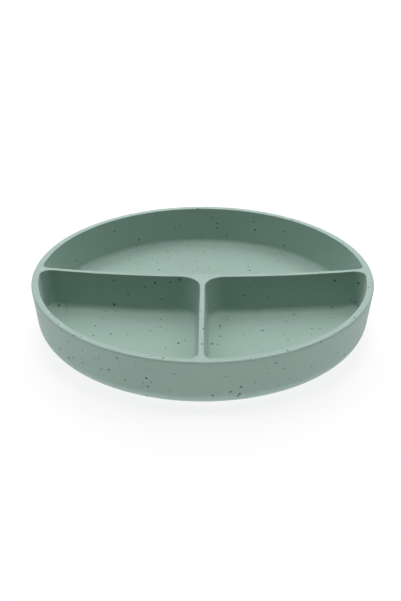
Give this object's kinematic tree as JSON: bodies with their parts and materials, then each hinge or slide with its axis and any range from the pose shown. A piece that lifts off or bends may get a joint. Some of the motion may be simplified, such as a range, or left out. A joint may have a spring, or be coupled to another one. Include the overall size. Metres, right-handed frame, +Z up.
{
  "type": "divided suction dish",
  "caption": "Shallow round silicone feeding dish for a child, divided by a bowed wall and a short straight wall, held to a table by a suction base with a release tab.",
  "frame": {"origin": "on the dish's axis, on the surface that it stands on", "axes": "+Z up, out of the compartments; -Y towards the two small compartments, +Y towards the large compartment and the release tab; +X to the right seen from -Y"},
  "size_m": [0.19, 0.19, 0.03],
  "materials": {
    "speckled_silicone": "matte moulded silicone, pale grey-green with irregular dark green-grey specks",
    "base_silicone": "matte moulded silicone, pale grey-green, unspeckled"
  },
  "bodies": {
    "dish": {"dish": "speckled_silicone", "suction_root": "base_silicone", "suction_skirt": "base_silicone"},
    "lip": {"sealing_lip": "base_silicone"},
    "tab": {"release_tab": "base_silicone"}
  },
  "joints": [
    {"name": "lip_press", "type": "slide", "parent": "dish", "child": "lip", "axis": [0, 0, 1], "range_m": [0, 0.0014], "stiffness_N_per_m": 2500, "springref_m": -0.002, "deforming": ["suction_skirt"]},
    {"name": "tab_lift", "type": "hinge", "parent": "lip", "child": "tab", "pos_m": [0, 0.075, 0.0011], "axis": [1, 0, 0], "range_deg": [0, 9], "stiffness_Nm_per_rad": 0.02}
  ]
}
